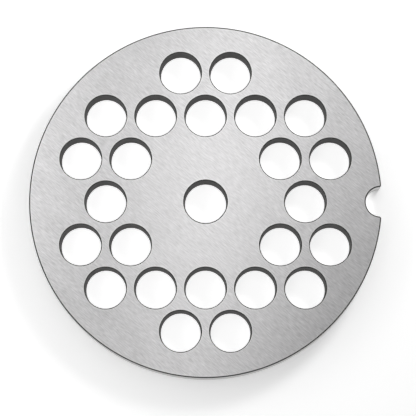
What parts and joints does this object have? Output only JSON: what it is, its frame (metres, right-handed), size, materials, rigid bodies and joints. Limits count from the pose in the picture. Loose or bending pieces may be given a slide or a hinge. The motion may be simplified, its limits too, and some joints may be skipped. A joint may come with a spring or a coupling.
{
  "type": "meat grinder plate",
  "caption": "Flat round grinder plate of ground steel: straight meat holes round a solid hub land, a plain centre bore and a half-round key notch in the rim.",
  "frame": {"origin": "on the centre bore's axis, in the plane of the back face", "axes": "+Z along the bore towards the front face, +X towards the key notch"},
  "size_m": [0.0998, 0.1, 0.01],
  "materials": {
    "ground_steel": "both faces surface-ground, holes drilled and reamed, rim turned"
  },
  "bodies": {
    "root": {"grinder_plate": "ground_steel"}
  },
  "joints": []
}
